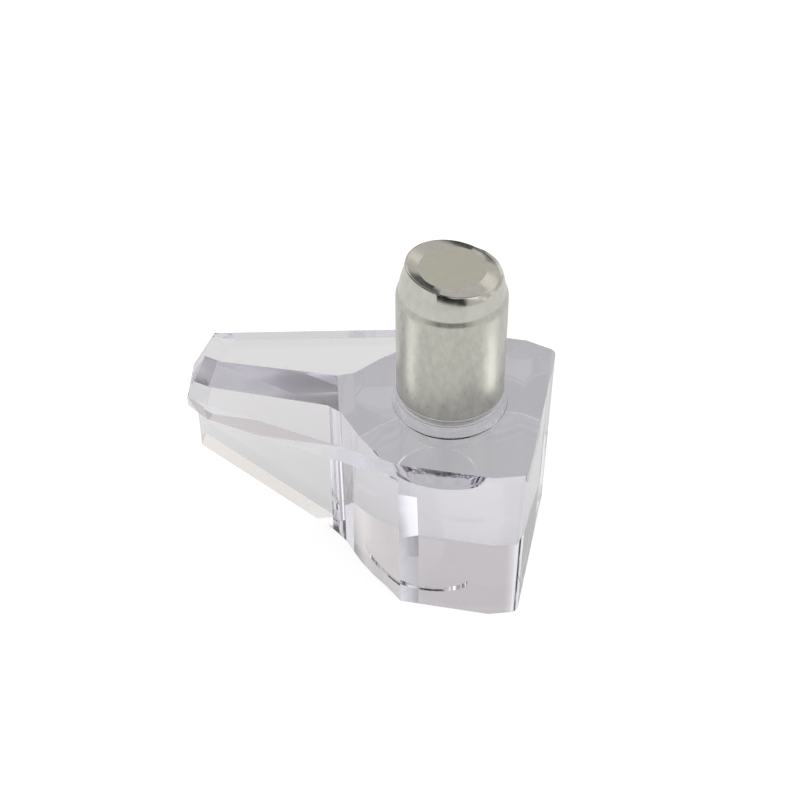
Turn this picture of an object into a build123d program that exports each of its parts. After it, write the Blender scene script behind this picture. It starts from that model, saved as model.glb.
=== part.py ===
from build123d import *
import os
from math import radians, tan

# Shelf support pin: a clear moulded bracket that holds a plated steel pin.
# All lengths are in millimetres and all angles in degrees.
# +Z runs out along the pin, into the cabinet side. +X points at the shelf, which is up when the
# support is in use. The origin is on the pin's axis, in the back face that meets the cabinet side.

# Steel pin
pin_diameter = 5.0
pin_reach = 7.8  # from the back face to the middle of the free end
pin_shoulder_diameter = 4.9
pin_shoulder_length = 1.2  # each shoulder narrows from there over this length
pin_swell_length = 0.75  # and swells to the full diameter over this one
pin_rim_diameter = 4.2
pin_rim_radius = 0.15
end_slant = 8.5  # of the sheared free end, which falls away towards the shelf
end_slant_turn = 20.0  # from straight towards the shelf, round to the left side
held_flat = 3.3  # diameter of the flat on the held end
held_rim_drop = 0.15  # how far the held end's rim lies behind its flat
groove_start = 0.1  # from the back face to the ring groove that locks the pin in the moulding
groove_width = 0.5
groove_depth = 0.2
held_land = 0.15  # full diameter left between the groove and the held end

# Outline of the back face, half of it: from the tip, past the pin, to the shelf face
tip_reach = 12.4  # pin axis to the point of the tip
tip_point = 0.35  # how far the middle of the tip stands ahead of its corners
tip_width = 4.8
side_start = 1.5  # pin axis back to the shoulder where the straight side starts
body_width = 9.7
nose_start = 2.9  # pin axis out to where the side begins to close in
shelf_reach = 4.4  # pin axis to the shelf face
shelf_width = 8.75

# Depth and section of the moulding
body_depth = 9.3  # back face to front face
wing_thickness = 1.0
gusset_tip_depth = 4.2  # depth of the gusset at the tip
foot_start = 5.1  # pin axis back to where the gusset meets the front face
rib_reach = 12.15  # pin axis to the end of the rib
rib_tip_thickness = 1.9
rib_root_thickness = 2.2
rib_root = 5.2  # pin axis back to where the rib opens out into the block
flank_bulge = 0.1  # how far the block's slanting flank is drawn in from the straight
tip_lean = 31.0  # of the wings' tip faces, from the vertical
tip_land = 0.1  # upright strip left above the leaning faces
wall_draft = 1.2  # every upright wall closes in by this towards the front face

# Corners
corner_radius = 0.45  # the block's two upright edges beside the shelf

# Collar of thin flash that climbs the pin out of the back face
collar_height = 0.9
collar_rim = 0.05  # its thickness at the top
collar_foot = 0.2  # its thickness at the back face
collar_hollow = 0.04  # how far its outside is drawn in from the straight

# Mark of the ejector in the front face
mark_diameter = 4.0
mark_depth = 0.15
mark_back = 0.5  # from the pin's axis back towards the tip
mark_aside = 0.45  # and to the right side

# Fit of the pin in the moulding
socket_clearance = 0.02  # thin film of air all round the pin

pin_radius = pin_diameter / 2
groove_end = groove_start + groove_width
pin_embed = groove_end + held_land + pin_swell_length + pin_shoulder_length
socket_radius = pin_radius + socket_clearance
half_width = body_width / 2
tool_margin = 2.0  # how far a cut runs past the outside of the body


def pin_section(side_gap):
    """Half section of the pin, from its axis, with its sides and shoulders grown by side_gap.

    The free end is left long, as the slanting cut takes it to length.
    """
    side = pin_radius + side_gap
    shoulder = pin_shoulder_diameter / 2 + side_gap
    rim = pin_rim_diameter / 2 + side_gap
    free_shoulder = pin_reach - pin_shoulder_length
    uncut = pin_shoulder_length + pin_radius * tan(radians(end_slant))
    uncut_rim = shoulder - (shoulder - rim) * uncut / pin_shoulder_length
    held_shoulder = pin_shoulder_length - pin_embed

    Polyline((0, free_shoulder + uncut), (uncut_rim, free_shoulder + uncut), (shoulder, free_shoulder))
    TangentArc((side, free_shoulder - pin_swell_length), (shoulder, free_shoulder), tangent=(0, 1))
    Line((side, free_shoulder - pin_swell_length), (side, -groove_start))
    ThreePointArc(
        (side, -groove_start),
        (side - groove_depth, -(groove_start + groove_end) / 2),
        (side, -groove_end),
    )
    Line((side, -groove_end), (side, held_shoulder + pin_swell_length))
    TangentArc((side, held_shoulder + pin_swell_length), (shoulder, held_shoulder), tangent=(0, -1))
    Polyline(
        (shoulder, held_shoulder),
        (rim, -pin_embed + held_rim_drop),
        (held_flat / 2, -pin_embed),
        (0, -pin_embed),
        (0, free_shoulder + uncut),
    )


# The pin: sheared off the wire and swaged, so that both ends have a shoulder and a soft rim
with BuildPart() as steel_pin:
    with BuildSketch(Plane.XZ) as pin_face:
        with BuildLine():
            pin_section(0)
        make_face()
        held_rim = pin_face.vertices().sort_by(Axis.Y)[2]
        fillet(held_rim, radius=pin_rim_radius)
    revolve(axis=Axis.Z)
    slanting = Plane((0, 0, pin_reach)).rotated((0, end_slant, 0)).rotated((0, 0, end_slant_turn))
    split(bisect_by=slanting, keep=Keep.BOTTOM)
    fillet(steel_pin.faces().sort_by(Axis.Z)[-1].edges(), radius=pin_rim_radius)
steel_pin.part.label = "steel_pin"

# The moulding, with the steel pin standing in it
with BuildPart() as support_body:
    # The plate behind everything: two wings that run out past the rib
    with BuildSketch():
        with BuildLine():
            half_plate = Polyline(
                (-tip_reach, 0),
                (-tip_reach + tip_point, tip_width / 2),
                (-side_start, half_width),
                (nose_start, half_width),
                (shelf_reach, shelf_width / 2),
                (shelf_reach, 0),
            )
            mirror(half_plate, about=Plane.XZ)
        make_face()
    extrude(amount=-wing_thickness, taper=wall_draft)
    tip_faces = support_body.faces().group_by(Axis.X)[0]
    tip_undersides = tip_faces.edges().group_by(Axis.Z)[0]
    lean_depth = wing_thickness - tip_land
    chamfer(tip_undersides, length=lean_depth * tan(radians(tip_lean)), length2=lean_depth)

    # The block under the pin, and the rib that runs from it to the tip
    root_y = rib_root_thickness / 2
    tip_y = rib_tip_thickness / 2
    with BuildSketch():
        with BuildLine():
            Polyline((-rib_reach, 0), (-rib_reach, tip_y), (-rib_root, root_y))
            SagittaArc((-rib_root, root_y), (-side_start, half_width), -flank_bulge)
            Polyline(
                (-side_start, half_width),
                (nose_start, half_width),
                (shelf_reach, shelf_width / 2),
                (shelf_reach, 0),
            )
            Line((shelf_reach, 0), (-rib_reach, 0))
        make_face()
        mirror(about=Plane.XZ)
    extrude(amount=-body_depth, taper=wall_draft)

    # The upright edges beside the shelf face
    shelf_edges = support_body.faces().sort_by(Axis.X)[-1].edges().sort_by(Axis.Y)
    fillet([shelf_edges[0], shelf_edges[-1]], radius=corner_radius)

    # The gusset's slope, cut across the full width under the tip
    slope = (body_depth - gusset_tip_depth) / (tip_reach - foot_start)
    with BuildSketch(Plane.XZ):
        Polygon(
            (-foot_start, -body_depth),
            (-tip_reach - tool_margin, -gusset_tip_depth + tool_margin * slope),
            (-tip_reach - tool_margin, -body_depth - tool_margin),
            (-foot_start + tool_margin / slope, -body_depth - tool_margin),
            align=None,
        )
    extrude(amount=body_width, both=True, mode=Mode.SUBTRACT)

    # The collar round the pin
    with BuildSketch(Plane.XZ):
        with BuildLine():
            Polyline(
                (socket_radius + collar_foot, 0),
                (socket_radius, 0),
                (socket_radius, collar_height),
                (socket_radius + collar_rim, collar_height),
            )
            SagittaArc(
                (socket_radius + collar_rim, collar_height),
                (socket_radius + collar_foot, 0),
                -collar_hollow,
            )
        make_face()
    revolve(axis=Axis.Z)

    # The socket, whose floor meets the pin's end
    with BuildSketch(Plane.XZ):
        with BuildLine():
            pin_section(socket_clearance)
        make_face()
    revolve(axis=Axis.Z, mode=Mode.SUBTRACT)

    # The ejector's mark
    with Locations((-mark_back, -mark_aside, -body_depth)):
        Cylinder(mark_diameter / 2, 2 * mark_depth, mode=Mode.SUBTRACT)
support_body.part.label = "support_body"

os.makedirs("parts", exist_ok=True)
export_step(steel_pin.part, "parts/steel_pin.step")
export_step(support_body.part, "parts/support_body.step")
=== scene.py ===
import math

import bmesh
import bpy
from mathutils import Matrix, Vector


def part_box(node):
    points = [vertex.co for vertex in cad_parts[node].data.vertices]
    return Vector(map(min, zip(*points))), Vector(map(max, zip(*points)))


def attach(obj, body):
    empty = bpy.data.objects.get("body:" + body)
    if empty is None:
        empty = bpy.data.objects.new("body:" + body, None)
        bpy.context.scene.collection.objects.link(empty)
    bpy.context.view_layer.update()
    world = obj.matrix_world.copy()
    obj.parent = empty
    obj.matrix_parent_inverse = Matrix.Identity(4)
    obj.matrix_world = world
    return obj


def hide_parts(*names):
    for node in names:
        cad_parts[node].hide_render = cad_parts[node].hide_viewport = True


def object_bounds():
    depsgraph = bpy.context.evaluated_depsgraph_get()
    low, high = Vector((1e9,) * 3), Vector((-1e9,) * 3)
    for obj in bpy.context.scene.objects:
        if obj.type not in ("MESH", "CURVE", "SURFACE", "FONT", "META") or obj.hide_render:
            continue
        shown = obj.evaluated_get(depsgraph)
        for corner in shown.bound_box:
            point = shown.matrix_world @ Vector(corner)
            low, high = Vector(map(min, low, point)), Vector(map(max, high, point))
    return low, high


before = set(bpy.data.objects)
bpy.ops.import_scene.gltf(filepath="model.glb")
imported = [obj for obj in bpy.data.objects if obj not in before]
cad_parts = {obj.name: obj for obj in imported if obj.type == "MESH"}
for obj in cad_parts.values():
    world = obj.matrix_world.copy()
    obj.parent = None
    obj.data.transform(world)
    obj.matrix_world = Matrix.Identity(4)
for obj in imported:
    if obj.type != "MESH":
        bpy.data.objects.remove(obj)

# Shelf support pin: a clear moulded bracket with a plated steel pin, standing on its front face
# with the pin up. +Z runs up the pin and +X points at the face that carries the shelf.

cad_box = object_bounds()
mm = 0.001

# Camera, as the photograph was taken
camera_azimuth = 11.45  # degrees
camera_elevation = 42.2
camera_distance = 95 * mm  # from the point on the pin's axis in the back face
camera_right = -2.33 * mm
camera_up = -0.07 * mm
camera_lens = 91.4
camera_sensor = 36.0

# Clear plastic, by the bending of edges seen through the block
plastic_ior = 1.55
satin_roughness = 0.2  # of the gusset's slope, off eroded steel
mark_roughness = 0.12  # of the mark's floor, off the ground end of the ejector
wave_length = 1.6 * mm  # of the faint waves that a cooling face sinks into
wave_height = 0.0006 * mm
plastic_colour_depth = 40.0  # how strongly each metre of plastic takes its colour
block_shade_start = -6.0 * mm  # from here the thick block sends most light out of its sides,
block_shade_full = -4.6 * mm  # and the floor under it is darker

# Faces of the moulding that have their own finish
gusset_way = Vector((-0.573, 0, -0.820))  # that the gusset's slope faces
same_way = math.radians(3)
straight_down = -0.99  # a face's normal has no more Z than this
mark_level = cad_box[0].z + 0.15 * mm  # of the mark's floor
same_level = 0.05 * mm

# The slanting flank, from the root of the rib to the straight side. The real moulding's is fuller
# than the solid's, and its root has a narrow flat.
flank_start = -5.19 * mm
flank_end = -1.5 * mm
flank_fullness = 0.3 * mm  # half way along
flank_rise = 1.5  # power of the sine that the fullness follows
flank_top = -0.9 * mm  # the plate's underside and all below it
flank_from_pin = 3.6 * mm  # clear of the socket and the mark
root_reach = 0.35 * mm  # how near the root a vertex counts as its own
root_height = 4 * mm  # a root's upright edge is longer than this
root_width = 0.45 * mm  # each side of the root that its flat takes

# Edges of the moulding
joined_within = 0.5e-3 * mm  # loose triangles share a vertex when their corners are this near
flat_within = math.radians(0.5)
sliver = 0.02 * mm  # after the roots are cut, vertices closer than this are one
edge_radius = 0.07 * mm
edge_steps = 2
collar_room = 0.3 * mm  # round the pin, where the flash has its own form
smooth_up_to = math.radians(20)  # between faces that shade as one

# Steel pin: radius and height of each corner of its half section, with the length of its rounding
pin_corners = (
    (1.65, -2.70, 0.0),
    (2.10, -2.55, 0.1),
    (2.45, -1.50, 0.0),
    (2.50, -0.75, 0.0),
    (2.50, -0.60, 0.0),
    (2.32, -0.48, 0.06),
    (2.32, -0.22, 0.06),
    (2.50, -0.10, 0.0),
    (2.50, 1.00, 0.0),
    (2.55, 5.70, 0.5),
    (2.54, 6.35, 0.08),
    (2.42, 6.64, 0.06),
    (2.34, 7.20, 0.25),
    (2.12, 7.77, 0.06),
    (1.48, 7.80, 0.05),
)
pin_turns = 96  # steps round the pin
arc_steps = 4  # in each rounding
satin_top = 6.65 * mm  # where the tumbled side gives way to the smooth band under the rim
rim_foot = 7.6 * mm  # all above this, outside the disc, leans with the rim
rim_centre = 7.77 * mm
disc_radius = 1.46 * mm
rim_slant = math.radians(8.5)
rim_slant_turn = math.radians(20)  # from straight towards the shelf, round to the left side
drawn_out = 0.5  # the mottle is this much slower along the pin than round it

# The block's polished foot touches the floor only at points, so air shows under it
floor_gap = 0.03 * mm
floor_seen = 0.88  # strength that the floor has of its own for the camera
floor_seen_beyond = 0.49  # and for what shows through plastic or in metal
# Painted pools of light on the floor at each side, which show in the pin
painted_light_pools = ((-17 * mm, -5 * mm, cad_box[0].z), (16 * mm, 2 * mm, cad_box[0].z))
painted_pool_strength = 1.5
painted_pool_reach = 7 * mm
floor_radius = 1.5
floor_turns = 96

# The room: height and colour of its pale side and its dark ceiling
room_colours = ((0.62, "#c5c2c0"), (0.92, "#3a3a40"))
# and its lamps and dark places: azimuth, elevation, reach and soft edge in degrees, with the colour
# and strength of each
room_patches = (
    (177, 35, 32, 8, "#ccc8c7", 1.0),
    (185, 4, 14, 8, "#4f4f51", 1.0),
    (7, 19, 32, 10, "#0c0c0e", 1.0),
    (14, 44, 8, 8, "#0c0c0e", 1.0),
    (-104, 43, 12, 8, "#18181a", 1.0),
    (81, 37, 10, 6, "#ffffff", 1.15),
    (-16, 42, 4, 6, "#ffffff", 1.3),
    (-138, 39, 9, 7, "#ffffff", 0.95),
    (137, 31, 12, 6, "#fffaf4", 0.92),
    (46, 58, 8, 8, "#ffffff", 0.9),
    (67, 26, 10, 6, "#ffffff", 1.3),
    (22, 29, 6, 6, "#ffffff", 1.0),
)


def linear(hex_colour):
    """The linear RGBA of an sRGB hex value."""
    channels = [int(hex_colour[i : i + 2], 16) / 255 for i in (1, 3, 5)]
    return [c / 12.92 if c <= 0.04045 else ((c + 0.055) / 1.055) ** 2.4 for c in channels] + [1]


def add_node(tree, kind, settings=None, **inputs):
    """Adds a node. An input is a value, or the output socket that feeds it."""
    node = tree.nodes.new(kind)
    for name, value in (settings or {}).items():
        setattr(node, name, value)
    for name, value in inputs.items():
        key = int(name[1:]) if name[0] == "_" else name.replace("_", " ")
        if isinstance(value, bpy.types.NodeSocket):
            tree.links.new(value, node.inputs[key])
        else:
            node.inputs[key].default_value = value
    return node


def new_material(name):
    """An empty material and its node tree."""
    material = bpy.data.materials.new(name)
    material.use_nodes = True
    material.node_tree.nodes.clear()
    return material, material.node_tree


def clear_plastic(name, roughness):
    """Clear ABS, moulded: it takes the finish of the steel and is faintly lavender where thick.

    Its shadow is a tint, because the light that it bends onto the floor isn't rendered.
    """
    material, tree = new_material(name)
    place = add_node(tree, "ShaderNodeTexCoord").outputs["Object"]
    waves = add_node(tree, "ShaderNodeTexNoise", Vector=place, Scale=1 / wave_length, Detail=1.0)
    bump = add_node(
        tree, "ShaderNodeBump", Height=waves.outputs["Fac"], Strength=1.0, Distance=wave_height
    )
    surface = add_node(
        tree,
        "ShaderNodeBsdfPrincipled",
        Base_Color=linear("#ffffff"),
        Roughness=roughness,
        IOR=plastic_ior,
        Transmission_Weight=1.0,
        Normal=bump.outputs["Normal"],
    )
    depth = add_node(
        tree,
        "ShaderNodeVolumeAbsorption",
        Color=linear("#efecfa"),
        Density=plastic_colour_depth,
    )
    along = add_node(tree, "ShaderNodeSeparateXYZ", Vector=place)
    block = add_node(
        tree,
        "ShaderNodeMapRange",
        Value=along.outputs["X"],
        From_Min=block_shade_start,
        From_Max=block_shade_full,
    )
    shade = add_node(
        tree,
        "ShaderNodeMix",
        {"data_type": "RGBA"},
        _0=block.outputs["Result"],
        _6=linear("#f2f1f5"),
        _7=linear("#a9a8ae"),
    )
    through = add_node(tree, "ShaderNodeBsdfTransparent", Color=shade.outputs[2])
    rays = add_node(tree, "ShaderNodeLightPath")
    mix = add_node(
        tree,
        "ShaderNodeMixShader",
        Fac=rays.outputs["Is Shadow Ray"],
        _1=surface.outputs["BSDF"],
        _2=through.outputs["BSDF"],
    )
    add_node(
        tree,
        "ShaderNodeOutputMaterial",
        Surface=mix.outputs["Shader"],
        Volume=depth.outputs["Volume"],
    )
    return material


def zinc_plate(name, dark, light, grain, smooth, rough, depth):
    """Zinc plate on steel: a mottle of dark and light, whose grain and depth are in metres.

    The darker the mottle, the smoother it is, from smooth to rough.
    """
    material, tree = new_material(name)
    place = add_node(tree, "ShaderNodeTexCoord").outputs["Object"]
    drawn = add_node(tree, "ShaderNodeMapping", Vector=place, Scale=(1.0, 1.0, drawn_out))
    mottle = add_node(
        tree,
        "ShaderNodeTexNoise",
        Vector=drawn.outputs["Vector"],
        Scale=1 / grain,
        Detail=5.0,
        Roughness=0.6,
    ).outputs["Fac"]
    tone = add_node(
        tree,
        "ShaderNodeMix",
        {"data_type": "RGBA"},
        _0=mottle,
        _6=linear(dark),
        _7=linear(light),
    )
    gloss = add_node(tree, "ShaderNodeMapRange", Value=mottle, To_Min=smooth, To_Max=rough)
    bump = add_node(tree, "ShaderNodeBump", Height=mottle, Strength=1.0, Distance=depth)
    surface = add_node(
        tree,
        "ShaderNodeBsdfPrincipled",
        Base_Color=tone.outputs[2],
        Metallic=1.0,
        Roughness=gloss.outputs["Result"],
        Normal=bump.outputs["Normal"],
    )
    add_node(tree, "ShaderNodeOutputMaterial", Surface=surface.outputs["BSDF"])
    return material


def new_piece(name, shape, node, *materials):
    """Makes a piece of a bmesh, which stands for a CAD node, whose own mesh it hides."""
    mesh = bpy.data.meshes.new(name)
    shape.to_mesh(mesh)
    shape.free()
    for material in materials:
        mesh.materials.append(material)
    mesh.shade_smooth()
    mesh.set_sharp_from_angle(angle=smooth_up_to)
    piece = bpy.data.objects.new(name, mesh)
    bpy.context.collection.objects.link(piece)
    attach(piece, "root")
    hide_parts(node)
    return piece


def joined_copy(node):
    """A bmesh of a CAD solid, with its loose triangles joined and its flat faces made whole."""
    shape = bmesh.new()
    shape.from_mesh(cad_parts[node].data)
    bmesh.ops.remove_doubles(shape, verts=shape.verts, dist=joined_within)
    bmesh.ops.dissolve_limit(shape, angle_limit=flat_within, verts=shape.verts, edges=shape.edges)
    return shape


def outer_edges(shape):
    """The sharp edges on the outside of the moulding, away from the pin's socket."""
    reach = max(abs(c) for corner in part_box("steel_pin") for c in corner.xy) + collar_room
    return [
        edge
        for edge in shape.edges
        if edge.is_manifold
        and edge.calc_face_angle() > smooth_up_to
        and max(v.co.xy.length for v in edge.verts) > reach
    ]


def fill_out_flanks(shape):
    """Swells both slanting flanks below the plate, and puts a narrow flat in each root."""
    below = [v for v in shape.verts if v.co.z < flank_top and v.co.xy.length > flank_from_pin]
    near_root = {v for v in below if abs(v.co.x - flank_start) < root_reach}
    for vert in below:
        along = (vert.co.x - flank_start) / (flank_end - flank_start)
        if vert not in near_root and 0 < along < 1:
            swell = flank_fullness * math.sin(math.pi * along) ** flank_rise
            outward = Vector((-1, math.copysign(1, vert.co.y), 0)).normalized()
            vert.co += swell * outward
    roots = [
        edge
        for edge in shape.edges
        if edge.calc_length() > root_height and near_root.issuperset(edge.verts)
    ]
    bmesh.ops.bevel(
        shape,
        geom=roots,
        affect="EDGES",
        offset=root_width,
        segments=1,
        profile=0.5,
        material=-1,
        clamp_overlap=False,
    )
    bmesh.ops.remove_doubles(shape, verts=shape.verts, dist=sliver)


def moulded_body():
    """The clear moulding, with the small radius that a polished tool leaves on every edge."""
    shape = joined_copy("support_body")
    fill_out_flanks(shape)
    bmesh.ops.bevel(
        shape,
        geom=outer_edges(shape),
        affect="EDGES",
        offset=edge_radius,
        segments=edge_steps,
        profile=0.5,
        material=-1,
        clamp_overlap=True,
    )
    polished, satin, ground = range(3)
    for face in shape.faces:
        level = face.calc_center_median().z
        face.material_index = polished
        if face.normal.angle(gusset_way, math.pi) < same_way:
            face.material_index = satin
        elif face.normal.z < straight_down and abs(level - mark_level) < same_level:
            face.material_index = ground
    piece = new_piece(
        "clear_body",
        shape,
        "support_body",
        # Off polished steel: like glass
        clear_plastic("clear_moulded_abs", 0.0),
        # Off eroded steel: what shows through is softened
        clear_plastic("clear_moulded_abs_off_satin_steel", satin_roughness),
        # Off the ejector's ground end: a little softened
        clear_plastic("clear_moulded_abs_off_ground_steel", mark_roughness),
    )
    flats = piece.modifiers.new("flats_stay_flat", "WEIGHTED_NORMAL")
    flats.keep_sharp = True
    flats.weight = 100


def plated_pin():
    """The pin: wire with swaged shoulders and a groove, sheared to a disc with a rolled rim."""
    shape = bmesh.new()
    line = [shape.verts.new((0, 0, pin_corners[0][1] * mm))]
    line += [shape.verts.new((radius * mm, 0, height * mm)) for radius, height, _ in pin_corners]
    line += [shape.verts.new((0, 0, pin_corners[-1][1] * mm))]
    for pair in zip(line, line[1:]):
        shape.edges.new(pair)
    for corner, (_, _, rounding) in zip(line[1:-1], pin_corners):
        if rounding:
            bmesh.ops.bevel(
                shape,
                geom=[corner],
                affect="VERTICES",
                offset=rounding * mm,
                segments=arc_steps,
                profile=0.5,
                material=-1,
                clamp_overlap=True,
            )
    bmesh.ops.spin(
        shape,
        geom=shape.verts[:] + shape.edges[:],
        cent=(0, 0, 0),
        axis=(0, 0, 1),
        angle=math.tau,
        steps=pin_turns,
        use_merge=True,
    )
    bmesh.ops.remove_doubles(shape, verts=shape.verts, dist=joined_within)
    bmesh.ops.recalc_face_normals(shape, faces=shape.faces)

    level_axis = (-math.sin(rim_slant_turn), math.cos(rim_slant_turn), 0)
    slant = Matrix.Rotation(rim_slant, 3, level_axis)
    rim = [v for v in shape.verts if v.co.z > rim_foot and v.co.xy.length > disc_radius + edge_radius]
    bmesh.ops.rotate(shape, verts=rim, cent=(0, 0, rim_centre), matrix=slant)

    tumbled, swaged, sheared, held_in_painted_shade = range(4)
    for face in shape.faces:
        middle = face.calc_center_median()
        # Below the back face the moulding holds the pin, and its plate is darkened there: painted
        # shade
        face.material_index = held_in_painted_shade if middle.z < 0 else tumbled
        if middle.z > satin_top:
            on_disc = middle.xy.length < disc_radius - edge_radius
            face.material_index = sheared if on_disc else swaged
    new_piece(
        "plated_pin",
        shape,
        "steel_pin",
        # The side: satin, with a fine mottle drawn along the pin
        zinc_plate("tumbled_zinc_plate", "#b2b2a9", "#e8e7dd", 0.3 * mm, 0.2, 0.4, 0.006 * mm),
        # The band and the rim: pressed smooth, so that they mirror the room
        zinc_plate("swaged_zinc_plate", "#c4c4bc", "#e8e8df", 0.35 * mm, 0.1, 0.26, 0.004 * mm),
        # The disc: matt and a little yellow
        zinc_plate("sheared_zinc_plate", "#d6d6c6", "#e6e6d8", 0.4 * mm, 0.3, 0.4, 0.002 * mm),
        # All that the moulding holds: darker and duller than the side; the darkness is painted shade
        # from the plastic that closes round it
        zinc_plate("held_zinc_plate_painted_shade", "#5c5c56", "#a2a197", 0.35 * mm, 0.1, 0.3, 0.006 * mm),
    )


def pale_floor():
    """A white sweep that the camera sees as white, with the object's soft shadow on it.

    It shines a little in the plastic and the metal too, more in painted pools of light at each side,
    but lights neither.
    """
    material, tree = new_material("white_sweep")
    lit = add_node(tree, "ShaderNodeBsdfDiffuse", Color=linear("#d8d8d8"))
    rays = add_node(tree, "ShaderNodeLightPath").outputs
    beyond = add_node(
        tree,
        "ShaderNodeMath",
        {"operation": "MAXIMUM"},
        _0=rays["Is Glossy Ray"],
        _1=rays["Is Transmission Ray"],
    )
    place = add_node(tree, "ShaderNodeTexCoord").outputs["Object"]
    glow_with_painted_pools = floor_seen_beyond
    # Painted light: round each pool the floor glows brighter in the plastic and the metal
    for middle in painted_light_pools:
        away = add_node(
            tree, "ShaderNodeVectorMath", {"operation": "DISTANCE"}, _0=place, _1=middle
        )
        glow_with_painted_pools = add_node(
            tree,
            "ShaderNodeMapRange",
            {"interpolation_type": "SMOOTHSTEP"},
            Value=away.outputs["Value"],
            From_Min=0.0,
            From_Max=painted_pool_reach,
            To_Min=painted_pool_strength,
            To_Max=glow_with_painted_pools,
        ).outputs["Result"]
    share = add_node(
        tree,
        "ShaderNodeMath",
        {"operation": "MULTIPLY_ADD"},
        _0=beyond.outputs["Value"],
        _1=glow_with_painted_pools,
        _2=add_node(
            tree,
            "ShaderNodeMath",
            {"operation": "MULTIPLY"},
            _0=rays["Is Camera Ray"],
            _1=floor_seen,
        ).outputs["Value"],
    )
    seen = add_node(
        tree,
        "ShaderNodeEmission",
        Color=linear("#ffffff"),
        Strength=share.outputs["Value"],
    )
    both = add_node(
        tree, "ShaderNodeAddShader", _0=lit.outputs["BSDF"], _1=seen.outputs["Emission"]
    )
    add_node(tree, "ShaderNodeOutputMaterial", Surface=both.outputs["Shader"])

    shape = bmesh.new()
    bmesh.ops.create_circle(shape, cap_ends=True, segments=floor_turns, radius=floor_radius)
    bmesh.ops.translate(shape, verts=shape.verts, vec=(0, 0, cad_box[0].z - floor_gap))
    mesh = bpy.data.meshes.new("floor")
    shape.to_mesh(mesh)
    shape.free()
    floor = bpy.data.objects.new("floor", mesh)
    bpy.context.collection.objects.link(floor)
    mesh.materials.append(material)


def way_to(azimuth, elevation):
    """The unit vector towards azimuth and elevation, measured as the camera's."""
    a, e = math.radians(azimuth), math.radians(elevation)
    return Vector((math.sin(a) * math.cos(e), -math.cos(a) * math.cos(e), math.sin(e)))


def studio_light():
    """A pale room all round, with lamps in soft boxes and dark places painted on it."""
    world = bpy.data.worlds.new("studio")
    bpy.context.scene.world = world
    world.use_nodes = True
    tree = world.node_tree
    tree.nodes.clear()
    way = add_node(tree, "ShaderNodeTexCoord").outputs["Generated"]
    height = add_node(tree, "ShaderNodeSeparateXYZ", Vector=way)
    ramp = add_node(tree, "ShaderNodeValToRGB", Fac=height.outputs["Z"])
    for stop, (place, colour) in zip(ramp.color_ramp.elements, room_colours):
        stop.position, stop.color = place, linear(colour)
    colour = ramp.outputs["Color"]
    for azimuth, elevation, reach, edge, tint, strength in room_patches:
        near = add_node(
            tree,
            "ShaderNodeVectorMath",
            {"operation": "DOT_PRODUCT"},
            _0=way,
            _1=way_to(azimuth, elevation),
        )
        inside = add_node(
            tree,
            "ShaderNodeMapRange",
            {"interpolation_type": "SMOOTHSTEP"},
            Value=near.outputs["Value"],
            From_Min=math.cos(math.radians(reach + edge)),
            From_Max=math.cos(math.radians(reach)),
        )
        colour = add_node(
            tree,
            "ShaderNodeMix",
            {"data_type": "RGBA"},
            _0=inside.outputs["Result"],
            _6=colour,
            _7=[c * strength for c in linear(tint)[:3]] + [1],
        ).outputs[2]
    room = add_node(tree, "ShaderNodeBackground", Color=colour, Strength=1.0)
    white = add_node(tree, "ShaderNodeBackground", Color=linear("#ffffff"), Strength=1.0)
    rays = add_node(tree, "ShaderNodeLightPath")
    mix = add_node(
        tree,
        "ShaderNodeMixShader",
        Fac=rays.outputs["Is Camera Ray"],
        _1=room.outputs["Background"],
        _2=white.outputs["Background"],
    )
    add_node(tree, "ShaderNodeOutputWorld", Surface=mix.outputs["Shader"])


def photo_camera():
    """The camera of the photograph: it looks along one line, set off a little from the pin."""
    back = way_to(camera_azimuth, camera_elevation)
    right = Vector((0, 0, 1)).cross(back).normalized()
    up = back.cross(right)
    lens = bpy.data.cameras.new("camera")
    lens.lens = camera_lens
    lens.sensor_width = camera_sensor
    lens.clip_start = camera_distance * 0.1
    camera = bpy.data.objects.new("camera", lens)
    camera.location = back * camera_distance + right * camera_right + up * camera_up
    camera.rotation_mode = "QUATERNION"
    camera.rotation_quaternion = back.to_track_quat("Z", "Y")
    bpy.context.collection.objects.link(camera)
    bpy.context.scene.camera = camera


photo_camera()
studio_light()
pale_floor()
moulded_body()
plated_pin()

# Light passes many faces of the block before it leaves
scene = bpy.context.scene
scene.view_settings.view_transform = "Standard"
scene.cycles.max_bounces = 32
scene.cycles.glossy_bounces = 24
scene.cycles.transmission_bounces = 32
scene.cycles.caustics_reflective = False
scene.cycles.caustics_refractive = False
